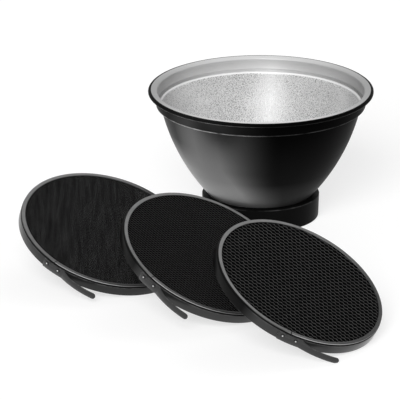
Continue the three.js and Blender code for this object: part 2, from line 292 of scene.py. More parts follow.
def pebbleSilverFinish():
    f, look = Finish("pebbleSilver"), pebbleSilver
    spot, x, y, _, radius = f.ownParts()
    warp = f.noise(spot, look["warp"], 2)
    pebble = f.add("TexVoronoi", {"feature": "SMOOTH_F1"}, {
        "Vector": spot, "Scale": look["grain"], "Smoothness": look["softness"], "Randomness": 1.0})
    fine = f.noise(spot, look["fine"], 1)
    cloud = f.noise(spot, look["cloud"], 2)
    height = sum(wave * share for wave, share in zip((pebble, fine, warp), look["heights"]))
    marks = sum(wave * share for wave, share in zip((pebble, fine, cloud), look["tones"]))
    tone = f.shade(marks.fit(*look["toneSpan"]), grey(look["dark"]), grey(look["pale"]))
    # Painted highlight: an even tone in a strip up the back wall
    highlightStrip = x.near(*look["strip"]) * y.fit(*look["stripSide"]) * look["stripShare"]
    tone = f.blend(highlightStrip, tone, grey(look["stripTone"]))
    # Painted shade towards the sides across the axis
    paintedSideShade = (x / radius) ** 2.0 * look["sideShadeShare"]
    return f.surface({
        "Base Color": f.blend(paintedSideShade, tone, grey(look["sideShadeTone"])),
        "Metallic": 1.0,
        "Roughness": look["rough"] + (fine - 0.5) * look["fineRough"],
        "Normal": f.bump(height, look["depth"]),
    })


# Moulded black of the collar, with a painted highlight along its ledge and a soft painted sheen in its coat
# behind
collarCoat = {
    "dark": 0.002, "pale": 0.004, "rough": 0.42, "level": 0.03, "cloud": 0.08, "cloudRough": 0.15,
    "grain": 3.5, "grainDepth": 0.015, "edge": (18.2, 0.6), "edgeSpan": (46, 46.6), "edgeHighlightTone": 0.05,
    "highlightNoise": 0.12, "highlightNoiseSpan": (0.35, 0.7), "sheenRough": 0.38, "sheenIor": 2.6,
    "behind": 0.25, "behindSpan": (0.1, 0.9),
}


def collarCoatFinish():
    f, look = Finish("collarCoat"), collarCoat
    spot, _, y, height, radius = f.ownParts()
    cloud = f.noise(spot, look["cloud"], 3)
    grain = f.noise(spot, look["grain"], 2)
    # Painted highlight along the ledge, broken up by noise
    highlightNoise = f.noise(spot, look["highlightNoise"], 4, 0.6).fit(*look["highlightNoiseSpan"])
    edgeHighlight = height.near(*look["edge"]) * radius.fit(*look["edgeSpan"]) * highlightNoise
    tone = f.shade(cloud, grey(look["dark"]), grey(look["pale"]))
    return f.surface({
        "Base Color": f.blend(edgeHighlight, tone, grey(look["edgeHighlightTone"])),
        "Roughness": look["rough"] + (cloud - 0.5) * look["cloudRough"],
        "Specular IOR Level": look["level"],
        # Painted sheen behind
        "Coat Weight": (y / radius).fit(*look["behindSpan"]) * look["behind"],
        "Coat Roughness": look["sheenRough"],
        "Coat IOR": look["sheenIor"],
        "Normal": f.bump(grain, look["grainDepth"]),
    })


# Dark satin coat of the grids' bands and levers, with painted highlights along the edges listed as (height,
# reach).
# It has a painted glint along the lip's edge beside the lever, and painted shade on the side that another
# grid keeps dark.
bandCoat = {
    "dark": 0.002, "pale": 0.016, "rough": 0.30, "level": 0.05, "sheenIor": 1.48,
    "cloud": 0.12, "cloudSpan": (0.3, 0.7, 0.7, 1.0), "cloudRough": 0.12, "grain": 4.0, "grainDepth": 0.012,
    "bandEdges": ((0, 0.25), (-2.1, 0.45)), "leverEdges": ((-1.8, 0.3), (-3.7, 0.35)), "edgeHighlightTone": 0.09,
    "highlightNoise": 0.25, "highlightNoiseSpan": (0.42, 0.66), "dimReach": 0.2, "leastSheen": 0.05,
    "glint": 0.5, "glintEdge": (-0.1, 0.5), "glintStart": (-0.1, 0.1), "glintEnd": (0.95, 0.6),
}


def bandCoatFinish(name, edges, dimStart, share):
    f, look = Finish(name), bandCoat
    spot, _, y, height, radius = f.ownParts()
    around = y / radius
    # Painted shade, in colour and coat weight, on the side where y falls below dimStart
    lit = around.fit(dimStart - look["dimReach"], dimStart)
    # Painted glint along the lip's edge beside the lever
    glint = around.fit(*look["glintStart"]) * around.fit(*look["glintEnd"]) * height.near(*look["glintEdge"])
    cloud = f.noise(spot, look["cloud"], 3)
    grain = f.noise(spot, look["grain"], 2)
    # Painted highlights along the listed edges, broken up by noise; none on the shaded side
    highlightNoise = f.noise(spot, look["highlightNoise"], 5, 0.65).fit(*look["highlightNoiseSpan"])
    edgeHighlight = sum(height.near(place, reach) for place, reach in edges) * highlightNoise
    tone = f.shade(lit * cloud.fit(*look["cloudSpan"]), grey(look["dark"]), grey(look["pale"] * share))
    tone = f.blend(edgeHighlight * lit, tone, grey(look["edgeHighlightTone"]))
    return f.surface({
        "Base Color": f.blend(glint, tone, grey(look["glint"])),
        "Roughness": look["rough"] + (cloud - 0.5) * look["cloudRough"],
        "Specular IOR Level": look["level"],
        "Coat Weight": (lit * (1 - look["leastSheen"]) + look["leastSheen"]) * share,
        "Coat Roughness": look["rough"],
        "Coat IOR": look["sheenIor"],
        "Normal": f.bump(grain, look["grainDepth"]),
    })


# The lip is the same coat, with a painted sheen in its coat on the side away from the lever.
lipCoat = {
    "dark": 0.012, "pale": 0.022, "toneSpan": (0.3, 0.7), "rough": 0.34, "level": 0.3,
    "cloud": 0.15, "cloudRough": 0.12, "grain": 3.0, "grainDepth": 0.012,
    "side": (-0.17, -0.98), "sideSpan": (-0.75, 0.5, 0.12, 1.0), "sheenSpan": (0.2, 0.6, 0.8, 1.0),
    "sheenRough": 0.28, "sheenIor": 2.35,
}


def lipCoatFinish():
    f, look = Finish("lipCoat"), lipCoat
    spot, x, y, _, radius = f.ownParts()
    cloud = f.noise(spot, look["cloud"], 3)
    # Painted sheen on the side away from the lever
    paintedSheenSide = ((x * look["side"][0] + y * look["side"][1]) / radius).fit(*look["sideSpan"])
    return f.surface({
        "Base Color": f.shade(cloud.fit(*look["toneSpan"]), grey(look["dark"]), grey(look["pale"])),
        "Roughness": look["rough"] + (cloud - 0.5) * look["cloudRough"],
        "Specular IOR Level": look["level"],
        "Coat Weight": paintedSheenSide * cloud.fit(*look["sheenSpan"]),
        "Coat Roughness": look["sheenRough"],
        "Coat IOR": look["sheenIor"],
        "Normal": f.bump(f.noise(spot, look["grain"], 2), look["grainDepth"]),
    })


# Matt black foil of the honeycombs, with a painted highlight towards the top and foot of its walls, stronger
# and weaker in bands along the direction the sheet was stretched
foilCoat = {
    "dark": 0.003, "pale": 0.17, "rough": 0.55, "level": 0.0, "top": -1.1, "foot": -8.2, "reach": 0.17,
    "bands": (0.34, 0.03), "bandSpan": (0.3, 0.7), "bandMiddle": 0.8, "bandRough": 0.3,  # across and along
    "patch": 0.6, "patchSpan": (0.3, 0.7, 0.8, 1.0),
}


def foilCoatFinish(name, grid):
    f, look = Finish(name), foilCoat
    spot, x, y, height, _ = f.ownParts()
    reach = look["reach"] * grid["pitch"]
    # Painted highlight towards the top and foot of the walls
    ends = height.fit(look["top"] - reach, look["top"]) + height.fit(look["foot"] + reach, look["foot"])
    cosine, sine = math.cos(grid["stretch"]), math.sin(grid["stretch"])
    sheet = f.vector((x * cosine + y * sine) * look["bands"][0], (y * cosine - x * sine) * look["bands"][1])
    bands = f.noise(sheet, 1.0, 2).fit(*look["bandSpan"], 1 - grid["streak"], 1 + grid["streak"])
    patch = f.noise(spot, look["patch"], 3).fit(*look["patchSpan"])
    pale = look["pale"] * grid["foilShare"]
    return f.surface({
        "Base Color": f.shade(ends * bands * patch, grey(look["dark"]), grey(pale)),
        "Roughness": look["rough"] + (bands - look["bandMiddle"]) * look["bandRough"],
        "Specular IOR Level": look["level"],
    })


# The foils' cut edges and glued walls
bondCoat = {"dark": 0.002, "pale": 0.006, "rough": 0.6, "level": 0.0}

# Shadow black inside the bands' grooves
grooveCoat = {"dark": 0.003, "pale": 0.005, "rough": 0.6, "level": 0.1}

# Common to both
stain = {"size": 0.35, "rough": 0.2}


def stainedCoatFinish(name, look):
    f = Finish(name)
    marks = f.noise(f.place(), stain["size"], 3)
    return f.surface({
        "Base Color": f.shade(marks, grey(look["dark"]), grey(look["pale"])),
        "Roughness": look["rough"] + (marks - 0.5) * stain["rough"],
        "Specular IOR Level": look["level"],
    })


# Dark metal of the rivets, with a painted glint in the middle of the head
rivetMetal = {
    "dark": 0.03, "pale": 0.75, "metal": 0.8, "rough": 0.24, "stain": 0.8, "stainRough": 0.3,
    "glintSpan": (0.8, 0.35), "stainSpan": (0.3, 0.5, 0.5, 1.0), "grain": 2.5, "grainDepth": 0.05,
}


def rivetMetalFinish():
    f, look = Finish("rivetMetal"), rivetMetal
    spot, _, _, _, radius = f.ownParts()
    marks = f.noise(spot, look["stain"], 3)
    # Painted glint in the middle of the head, broken up by noise
    headGlint = radius.fit(*look["glintSpan"]) * marks.fit(*look["stainSpan"])
    return f.surface({
        "Base Color": f.shade(headGlint, grey(look["dark"]), grey(look["pale"])),
        "Metallic": look["metal"],
        "Roughness": look["rough"] + (marks - 0.5) * look["stainRough"],
        "Normal": f.bump(f.noise(spot, look["grain"], 2), look["grainDepth"]),
    })


# The three grids: how each stands (degrees), its cells (rows in degrees, pitch and foil in millimetres), the
# direction its foil was stretched in (radians) and how strongly the foil's painted highlight and the band
# show. A band has painted shade where its own y, as a share of the radius, is below dimStart.
gridKinds = {
    "fine": {
        "facing": -51.6, "tilt": 23.4, "turn": 286.9,
        "rows": 37, "pitch": 1.36, "foil": 0.05, "halves": (1, -1),
        "stretch": 2.23, "streak": 0.42, "foilShare": 1.0, "dimStart": -2.0, "bandShare": 0.7,
    },
    "medium": {
        "facing": -39.5, "tilt": 28.4, "turn": 271.4,
        "rows": 36, "pitch": 2.7, "foil": 0.07, "halves": (0,),
        "stretch": 0.9, "streak": 0.12, "foilShare": 0.62, "dimStart": -0.08, "bandShare": 1.0,
    },
    "coarse": {
        "facing": -35.3, "tilt": 30.1, "turn": 302.4,
        "rows": 8, "pitch": 4.03, "foil": 0.09, "halves": (0,),
        "stretch": 0.9, "streak": 0.12, "foilShare": 0.75, "dimStart": -0.38, "bandShare": 1.0,
    },
}

finishes = {
    "coat": bowlCoatFinish(),
    "spun": spunFinish("spunSilver", spunSilver),
    "ledge": spunFinish("ledgeHighlightSilver", ledgeHighlightSilver),
    "pebble": pebbleSilverFinish(),
    "collar": collarCoatFinish(),
    "steel": spunFinish("turnedSteel", turnedSteel),
    "lip": lipCoatFinish(),
    "lever": bandCoatFinish("leverCoat", bandCoat["leverEdges"], -2.0, 1.0),
    "bond": stainedCoatFinish("bondCoat", bondCoat),
    "groove": stainedCoatFinish("grooveCoat", grooveCoat),
    "rivet": rivetMetalFinish(),
}
for name, grid in gridKinds.items():
    finishes[name + "Foil"] = foilCoatFinish(name + "Foil", grid)
    finishes[name + "Band"] = bandCoatFinish(
        name + "BandCoat", bandCoat["bandEdges"], grid["dimStart"], grid["bandShare"])
print("finishes made")


# Corners are (x, y, radius, finish) and points come back as (x, y, finish). A corner with a radius becomes
# an arc.
def softened(corners, steps=6):
    points = []
    for i, (x, y, radius, finish) in enumerate(corners):
        here = Vector((x, y))
        if not radius:
            points.append((x, y, finish))
            continue
        back = (Vector(corners[i - 1][:2]) - here).normalized()
        onward = (Vector(corners[(i + 1) % len(corners)][:2]) - here).normalized()
        half = back.angle(onward) / 2
        centre = here + (back + onward).normalized() * radius / math.sin(half)
        start = here + back * radius / math.tan(half) - centre
        end = here + onward * radius / math.tan(half) - centre
        turn = start.angle_signed(end)
        for k in range(steps + 1):
            swung = start.copy()
            swung.rotate(Matrix.Rotation(-turn * k / steps, 2))
            points.append((centre.x + swung.x, centre.y + swung.y, finish))
    return points


# Turns a closed outline of (radius, height, finish) round the axis; part of a turn gets flat ends.
def spun(outline, sides, start=0.0, end=2 * math.pi):
    whole = end - start > 2 * math.pi - 1e-6
    columns = sides if whole else sides + 1
    count = len(outline)
    points, faces, kinds = [], [], []
    for c in range(columns):
        angle = start + (end - start) * c / sides
        points += [(r * math.cos(angle), r * math.sin(angle), z) for r, z, _ in outline]
    for c in range(sides):
        here, there = c * count, ((c + 1) % columns) * count
        for k in range(count):
            n = (k + 1) % count
            faces.append((here + k, there + k, there + n, here + n))
            kinds.append(outline[n][2])
    if not whole:
        last = (columns - 1) * count
        faces += [tuple(range(count))[::-1], tuple(last + k for k in range(count))]
        kinds += [outline[0][2]] * 2
    return points, faces, kinds


# Takes a box, given by its low and high corners, out of a piece.
def cutAway(piece, box):
    low, high = map(Vector, box)
    work = bmesh.new()
    bmesh.ops.create_cube(work, size=1.0)
    bmesh.ops.scale(work, vec=high - low, verts=work.verts)
    bmesh.ops.translate(work, vec=(low + high) / 2, verts=work.verts)
    mesh = bpy.data.meshes.new("cutter")
    work.to_mesh(mesh)
    work.free()
    cutter = bpy.data.objects.new("cutter", mesh)
    bpy.context.collection.objects.link(cutter)
    cut = piece.modifiers.new("cut", "BOOLEAN")
    cut.object, cut.solver = cutter, "EXACT"
    bpy.context.view_layer.update()
    made = bpy.data.meshes.new_from_object(piece.evaluated_get(bpy.context.evaluated_depsgraph_get()))
    piece.modifiers.clear()
    piece.data = made
    bpy.data.objects.remove(cutter)
    return made


weldReach = 0.002


# The mesh is drawn in the piece's own frame, in millimetres, and then moved to its place on the object.
def makePiece(name, shape, body, nodes, matrix, sharp=40, cutter=None):
    points, faces, kinds = shape
    mesh = bpy.data.meshes.new(name)
    mesh.from_pydata(points, [], faces)
    order = list(dict.fromkeys(kinds))
    for kind in order:
        mesh.materials.append(finishes[kind])
    mesh.polygons.foreach_set("material_index", [order.index(kind) for kind in kinds])
    work = bmesh.new()
    work.from_mesh(mesh)
    bmesh.ops.remove_doubles(work, verts=work.verts, dist=weldReach)
    bmesh.ops.recalc_face_normals(work, faces=work.faces)
    work.to_mesh(mesh)
    work.free()
    piece = bpy.data.objects.new(name, mesh)
    bpy.context.collection.objects.link(piece)
    if cutter:
        mesh = cutAway(piece, cutter)
    own = mesh.attributes.new("ownPlace", "FLOAT_VECTOR", "POINT")
    own.data.foreach_set("vector", [v for vertex in mesh.vertices for v in vertex.co])
    mesh.transform(matrix @ Matrix.Scale(mm, 4))
    mesh.shade_smooth()
    mesh.set_sharp_from_angle(angle=math.radians(sharp))
    if body:
        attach(piece, body)
    if nodes:
        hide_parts(*nodes)
    return piece


# Bowl, in millimetres from the ground on its own axis
bowlShape = {
    "rimRadius": 90.0, "height": 105.0, "beadHeight": 3.1, "recessRadius": 82.5, "shelf": 94.0,
    "shelfThickness": 1.6, "sheet": 1.2, "wallTop": 80.0, "wallFoot": 41.5, "arcRadius": 163.0,
    "floor": 18.8, "throat": 33.0, "lipRound": 1.8, "lipCoat": 87.7, "stepRound": 0.9, "footRound": 1.4,
    "ledgeRound": 1.5, "ledgeReach": 1.35, "ringHeight": 95.9, "ringReach": 0.5, "ringDepth": 0.25,
    "ringRound": 0.3, "sides": 224, "wallSteps": 48,
}

low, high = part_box("reflector_bowl")
bowlAxis = Matrix.Translation(((low.x + high.x) / 2, (low.y + high.y) / 2, 0))


def wallCurve(b):
    foot = Vector((b["wallFoot"], b["floor"]))
    top = Vector((b["wallTop"], b["shelf"] - b["shelfThickness"]))
    chord = top - foot
    inward = Vector((-chord.y, chord.x)).normalized()
    centre = (foot + top) / 2 + inward * math.sqrt(b["arcRadius"] ** 2 - chord.length_squared / 4)

    def radiusAt(z, inset=0.0):
        return centre.x + math.sqrt((b["arcRadius"] - inset) ** 2 - (z - centre.y) ** 2)

    return radiusAt


def bowlOutline(b):
    wall = wallCurve(b)
    steps = b["wallSteps"]
    outerBand = b["recessRadius"] + b["sheet"]
    underShelf = b["shelf"] - b["shelfThickness"]
    underBead = b["height"] - b["beadHeight"]
    floorTop = b["floor"] + b["sheet"]
    outside = [b["floor"] + (underShelf - b["floor"]) * k / steps for k in range(2, steps)]
    inside = [floorTop + (b["shelf"] - floorTop) * k / steps for k in range(2, steps - 1)]
    corners = [(b["throat"], b["floor"], 0, "coat"), (b["wallFoot"], b["floor"], b["footRound"], "coat")]
    corners += [(wall(z), z, 0, "coat") for z in outside]
    corners += [
        (b["wallTop"], underShelf, 0, "coat"),
        (outerBand, underShelf, b["stepRound"], "coat"),
        (outerBand, underBead, 0, "coat"),
        (b["rimRadius"], underBead, b["beadHeight"] / 2, "coat"),
        (b["rimRadius"], b["height"], b["beadHeight"] / 2, "coat"),
        (b["lipCoat"], b["height"], 0, "coat"),
        (b["recessRadius"], b["height"], b["lipRound"], "spun"),
        (b["recessRadius"], b["ringHeight"] + b["ringReach"], 0, "spun"),
        (b["recessRadius"] - b["ringDepth"], b["ringHeight"], b["ringRound"], "spun"),
        (b["recessRadius"], b["ringHeight"] - b["ringReach"], 0, "spun"),
        (b["recessRadius"], b["shelf"], 0, "spun"),
        (wall(b["shelf"], b["sheet"]) + b["ledgeReach"], b["shelf"], 0, "spun"),
        (wall(b["shelf"], b["sheet"]), b["shelf"], b["ledgeRound"], "ledge"),
    ]
    corners += [(wall(z, b["sheet"]), z, 0, "pebble") for z in reversed(inside)]
    corners += [
        (wall(floorTop, b["sheet"]), floorTop, b["footRound"], "pebble"),
        (b["throat"], floorTop, 0, "spun"),
    ]
    return softened(corners)


makePiece("bowl", spun(bowlOutline(bowlShape), bowlShape["sides"]), "reflector", ["reflector_bowl"],
          bowlAxis)

# Collar
collarShape = {
    "radius": 46.9, "height": 18.5, "draft": 0.7, "wall": 2.4, "flange": 2.5, "throat": 33.0,
    "topRound": 0.6, "footRound": 1.2, "edge": 0.3, "sides": 192,
}


def collarOutline(c):
    bore = c["radius"] - c["draft"] - c["wall"]
    return softened([
        (bore, 0, c["edge"], "collar"),
        (c["radius"] - c["draft"], 0, c["footRound"], "collar"),
        (c["radius"], c["height"], c["topRound"], "collar"),
        (c["throat"], c["height"], c["edge"], "collar"),
        (c["throat"], c["height"] - c["flange"], c["edge"], "collar"),
        (bore, c["height"] - c["flange"], 0, "collar"),
    ])


makePiece("collar", spun(collarOutline(collarShape), collarShape["sides"]), "reflector", ["base_collar"],
          bowlAxis)
print("bowl and collar made")


# A flat outline with holes, with softened edges, from a filled curve
def plateShape(outline, holes, low, high, edge, finish):
    curve = bpy.data.curves.new("plateCurve", "CURVE")
    curve.dimensions = "2D"
    curve.fill_mode = "BOTH"
    curve.extrude = (high - low) / 2 - edge
    curve.bevel_depth = edge
    curve.bevel_resolution = 2
    curve.offset = -edge
    for loop in [outline, *holes]:
        line = curve.splines.new("POLY")
        line.points.add(len(loop) - 1)
        line.points.foreach_set("co", [v for x, y in loop for v in (x, y, 0, 1)])
        line.use_cyclic_u = True
    holder = bpy.data.objects.new("plateCurve", curve)
    bpy.context.collection.objects.link(holder)
    bpy.context.view_layer.update()
    mesh = bpy.data.meshes.new_from_object(holder.evaluated_get(bpy.context.evaluated_depsgraph_get()))
    points = [(v.co.x, v.co.y, v.co.z + (low + high) / 2) for v in mesh.vertices]
    faces = [tuple(p.vertices) for p in mesh.polygons]
    bpy.data.objects.remove(holder)
    bpy.data.curves.remove(curve)
    bpy.data.meshes.remove(mesh)
    return points, faces, [finish] * len(faces)


def arcPoints(radius, start, end, steps, centre=(0.0, 0.0)):
    angles = [start + (end - start) * k / steps for k in range(steps + 1)]
    return [(centre[0] + radius * math.cos(a), centre[1] + radius * math.sin(a)) for a in angles]


def ringPoints(radius, steps=96, centre=(0.0, 0.0)):
    return arcPoints(radius, 0, 2 * math.pi, steps, centre)[:-1]


# Bayonet ring under the flange, clamp ring on the bowl's floor, and the screws through both
mountShape = {
    "outer": 43.5, "inner": 34.2, "lugReach": 3.6, "lugWidth": 20.0, "lugs": 3, "low": 12.7, "high": 15.7,
    "notch": 1.5, "clampInner": 33.6, "clampOuter": 39.4, "clampLow": 20.3, "clampHigh": 21.8,
    "screwCircle": 36.5, "screwHole": 1.5, "screws": 3, "edge": 0.25,
    "lugSteps": 16, "notchSteps": 12, "boreSteps": 32, "holeSteps": 24,
}
screwShape = {
    "radius": 1.2, "headRadius": 2.6, "low": 12.7, "headLow": 22.1, "headHigh": 23.7,
    "footRound": 0.2, "headEdge": 0.15, "domeRound": 0.88, "slotWidth": 0.8, "slotDepth": 0.7,
    "slotReach": 3.0, "slotTurn": 0.7, "sides": 48,
}


def screwSpots():
    turns = [2 * math.pi * (k + 0.5) / mountShape["screws"] for k in range(mountShape["screws"])]
    return [(mountShape["screwCircle"] * math.cos(a), mountShape["screwCircle"] * math.sin(a)) for a in turns]


def bayonetBore(m):
    lugRadius = m["inner"] - m["lugReach"]
    half = m["lugWidth"] / 2 / lugRadius
    notch = m["notch"] / lugRadius
    loop = []
    for lug in range(m["lugs"]):
        here = 2 * math.pi * lug / m["lugs"]
        following = here + 2 * math.pi / m["lugs"]
        if lug:
            loop += arcPoints(lugRadius, here - half, here + half, m["lugSteps"])
        else:
            loop += arcPoints(lugRadius, here - half, here - notch, m["lugSteps"] // 2)
            loop += arcPoints(m["notch"], math.pi * 1.5, math.pi * 2.5, m["notchSteps"], (lugRadius, 0))[1:-1]
            loop += arcPoints(lugRadius, here + notch, here + half, m["lugSteps"] // 2)
        loop += arcPoints(m["inner"], here + half, following - half, m["boreSteps"])
    return loop


screwHoles = [ringPoints(mountShape["screwHole"], mountShape["holeSteps"], spot) for spot in screwSpots()]
makePiece("bayonetRing", plateShape(ringPoints(mountShape["outer"]), [bayonetBore(mountShape), *screwHoles],
          mountShape["low"], mountShape["high"], mountShape["edge"], "steel"),
          "reflector", ["bayonet_ring"], bowlAxis, sharp=30)
makePiece("clampRing", plateShape(ringPoints(mountShape["clampOuter"]),
          [ringPoints(mountShape["clampInner"]), *screwHoles],
          mountShape["clampLow"], mountShape["clampHigh"], mountShape["edge"], "steel"),
          "reflector", ["clamp_ring"], bowlAxis, sharp=30)


# A screw with a pan head, whose slot is cut out afterwards
def screwMesh(s):
    domed = softened([
        (0, s["low"], 0, "steel"),
        (s["radius"], s["low"], s["footRound"], "steel"),
        (s["radius"], s["headLow"], 0, "steel"),
        (s["headRadius"], s["headLow"], s["headEdge"], "steel"),
        (s["headRadius"], s["headHigh"], s["domeRound"], "steel"),
        (0, s["headHigh"], 0, "steel"),
    ])
    return spun(domed, s["sides"])


for number, (x, y) in enumerate(screwSpots(), 1):
    spot = bowlAxis @ Matrix.Translation(Vector((x, y, 0)) * mm)
    spot = spot @ Matrix.Rotation(screwShape["slotTurn"] * number, 4, "Z")
    reach, half = screwShape["slotReach"], screwShape["slotWidth"] / 2
    slot = ((-reach, -half, screwShape["headHigh"] - screwShape["slotDepth"]),
            (reach, half, screwShape["headHigh"] + 1))
    makePiece("clampScrew%d" % number, screwMesh(screwShape), "reflector", ["clamp_screw_%d" % number],
              spot, sharp=35, cutter=slot)
print("mount made")

# Grids, in millimetres in a frame whose face is at height 0 and whose split is on +X
gridShape = {
    "radius": 69.5, "height": 9.3, "wall": 1.1, "lip": 0.8, "lipReach": 3.3, "groove": 0.9,
    "grooveDepth": 0.7, "lipInset": 0.4, "split": 0.7, "edge": 0.18, "shoulder": 0.35, "foot": 0.5,
    "cornerSteps": 4, "sides": 240,
}
leverShape = {
    "height": 7.2, "bladeHeight": 5.3, "thickness": 0.8, "drop": 1.8, "rivetSpacing": 10.7, "lead": 4.2,
    "bendLead": 4.0, "narrowing": 12.0, "reach": 33.1, "inset": 0.8, "bow": 2.2, "edge": 0.15, "gap": 0.3,
    "endReach": 1.5, "endDrop": 1.2, "bendReach": 1.2, "footSteps": 24, "bladeSteps": 40, "stations": 70,
    "tipSteps": 12, "tipShare": 0.995,
}
rivetShape = {
    "radius": 1.0, "headRadius": 1.6, "headHeight": 0.8, "middle": -4.0, "gap": 0.02, "edge": 0.1,
    "domeRound": 0.68, "sides": 40,
}
footRadius = gridShape["radius"] + leverShape["gap"]
stripRadius = footRadius + leverShape["thickness"] / 2
stripMiddle = -leverShape["drop"] - leverShape["height"] / 2
rivetTurn = math.asin(leverShape["rivetSpacing"] / 2 / footRadius)
bendTurn = rivetTurn + leverShape["bendLead"] / footRadius
bendPoint = Vector((stripRadius * math.cos(bendTurn), stripRadius * math.sin(bendTurn), stripMiddle))


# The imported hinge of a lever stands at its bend, so it gives the grid's place.
def gridMatrix(name, kind):
    turned = Matrix.Rotation(math.radians(kind["facing"]), 4, "Z")
    turned = turned @ Matrix.Rotation(math.radians(kind["tilt"]), 4, "Y")
    turned = turned @ Matrix.Rotation(math.radians(kind["turn"]), 4, "Z")
    hinge = next(j for j in frame["joints"] if j["name"] == "lever_%s_press" % name)
    return Matrix.Translation(Vector(hinge["pos_m"]) - turned @ (bendPoint * mm)) @ turned


def bandOutline(g, coat):
    inner, wallInner = g["radius"] - g["lipReach"], g["radius"] - g["wall"]
    lipOuter, shoulder = g["radius"] - g["lipInset"], -g["lip"] - g["groove"]
    return softened([
        (inner, 0, g["edge"], "lip"),
        (inner, -g["lip"], g["edge"], coat),
        (wallInner, -g["lip"], 0, coat),
        (wallInner, g["lip"] - g["height"], 0, coat),
        (inner, g["lip"] - g["height"], g["edge"], coat),
        (inner, -g["height"], g["edge"], coat),
        (g["radius"], -g["height"], g["foot"], coat),
        (g["radius"], shoulder, g["shoulder"], coat),
        (g["radius"] - g["grooveDepth"], shoulder, 0, "groove"),
        (g["radius"] - g["grooveDepth"], -g["lip"], 0, "groove"),
        (lipOuter, -g["lip"], g["edge"], "groove"),
        (lipOuter, 0, g["edge"], coat),
    ], g["cornerSteps"])


# Shares of a cell's pitch: how far a corner may be off, and how far a cell's middle keeps from the rim. The
# lattice is spread a little past the radius, and corners are matched to a keySteps-th of the pitch.
cellShape = {"slip": 0.012, "margin": 0.3, "spread": 1.3, "keySteps": 20}


# Hexagonal foil cells through the plate, on one side of its middle row or, with side 0, all over it. Corners
# are shared, and those past the edge are drawn in to it.
def honeycomb(pitch, foil, rowTurn, low, high, radius, finish, side):
    rng = random.Random(len(finish))
    rows = math.ceil(radius / pitch * cellShape["spread"])
    slip, steps = pitch * cellShape["slip"], cellShape["keySteps"]
    swing = Matrix.Rotation(math.radians(rowTurn), 2)
    corners, points, faces, kinds, edges = {}, [], [], [], {}

    def drawIn(x, y):
        far = math.hypot(x, y)
        return (x, y) if far <= radius else (x * radius / far, y * radius / far)

    def addPoint(x, y):
        points.extend([(*drawIn(x, y), high), (*drawIn(x, y), low)])
        return len(points) - 2

    for row in range(-rows, rows + 1):
        for column in range(-rows - abs(row), rows + abs(row) + 1):
            flat = Vector((pitch * (column + row / 2), pitch * row * math.sqrt(3) / 2))
            if flat.length > radius - pitch * cellShape["margin"] or side * (row + 0.5) < 0:
                continue
            centre = swing @ flat
            ring = []
            for k in range(6):
                angle = math.radians(rowTurn + 30 + 60 * k)
                reach = pitch / math.sqrt(3)
                x, y = centre.x + reach * math.cos(angle), centre.y + reach * math.sin(angle)
                key = (round(x / pitch * steps), round(y / pitch * steps))
                if key not in corners:
                    corners[key] = addPoint(x + rng.uniform(-slip, slip), y + rng.uniform(-slip, slip))
                ring.append(corners[key])
            share = 1 - foil / pitch
            inner = []
            for index in ring:
                px, py, _ = points[index]
                inner.append(addPoint(centre.x + (px - centre.x) * share, centre.y + (py - centre.y) * share))
            for k in range(6):
                n = (k + 1) % 6
                a, b, c, d = ring[k], ring[n], inner[n], inner[k]
                faces += [(a, b, c, d), (a + 1, d + 1, c + 1, b + 1), (d, c, c + 1, d + 1)]
                kinds += ["bond", "bond", finish if k % 3 else "bond"]
                edges[(a, b)] = True
    for a, b in edges:
        if (b, a) not in edges:
            faces.append((b, a, a + 1, b + 1))
            kinds.append("bond")
    return points, faces, kinds


# The lever's middle line, from its end before the first rivet round the bend to the tip
def leverLine(v):
    start = -rivetTurn - v["lead"] / footRadius
    line = [Vector(p) for p in arcPoints(stripRadius, start, bendTurn, v["footSteps"])]
    bend = Vector((bendPoint.x, bendPoint.y))
    tip = bend + Vector((-v["inset"], v["reach"]))
    crest = (bend + tip) / 2 + Vector((2 * v["bow"], 0))
    for k in range(1, v["bladeSteps"] + 1):
        t = k / v["bladeSteps"]
        line.append(bend * (1 - t) ** 2 + crest * 2 * t * (1 - t) + tip * t * t)
    return line


def leverMesh(v):
    line = leverLine(v)
    lengths = [0.0]
    for here, there in zip(line, line[1:]):
        lengths.append(lengths[-1] + (there - here).length)
    thick, edge, bottom = v["thickness"] / 2, v["edge"], stripMiddle - v["height"] / 2
    bend = (bendTurn + rivetTurn + v["lead"] / footRadius) * stripRadius
    half = v["bladeHeight"] / 2
    tipStart = lengths[-1] - half

    def at(distance):
        k = max(i for i in range(len(line) - 1) if lengths[i] <= distance)
        share = (distance - lengths[k]) / (lengths[k + 1] - lengths[k])
        along = (line[k + 1] - line[k]).normalized()
        return line[k].lerp(line[k + 1], share), along

    tipSteps, tipReach = v["tipSteps"], half * v["tipShare"]
    stations = [tipStart * k / v["stations"] for k in range(v["stations"] + 1)]
    stations += [tipStart + tipReach * math.sin(math.pi / 2 * k / tipSteps) for k in range(1, tipSteps + 1)]
    points, faces = [], []
    for distance in stations:
        point, along = at(distance)
        out = Vector((along.y, -along.x))
        inTip = max(0.0, (distance - tipStart) / half)
        fromEnd = min(1.0, distance / v["endReach"])
        ease = min(max((distance - bend) / v["narrowing"], 0.0), 1.0)
        whole = v["height"] + (v["bladeHeight"] - v["height"]) * ease * ease * (3 - 2 * ease)
        tall = whole / 2 * math.sqrt(1 - inTip ** 2)
        tall -= (1 - math.sqrt(1 - (1 - fromEnd) ** 2)) * v["endDrop"]
        ring = [(-thick, -tall + edge), (-thick + edge, -tall), (thick - edge, -tall), (thick, -tall + edge),
                (thick, tall - edge), (thick - edge, tall), (-thick + edge, tall), (-thick, tall - edge)]
        points += [(point.x + out.x * a, point.y + out.y * a, bottom + whole / 2 + b) for a, b in ring]
    for s in range(len(stations) - 1):
        for k in range(8):
            n = (k + 1) % 8
            faces.append((s * 8 + k, s * 8 + 8 + k, s * 8 + 8 + n, s * 8 + n))
    last = (len(stations) - 1) * 8
    faces += [tuple(range(8)), tuple(last + k for k in range(8))[::-1]]
    return points, faces, ["lever"] * len(faces)


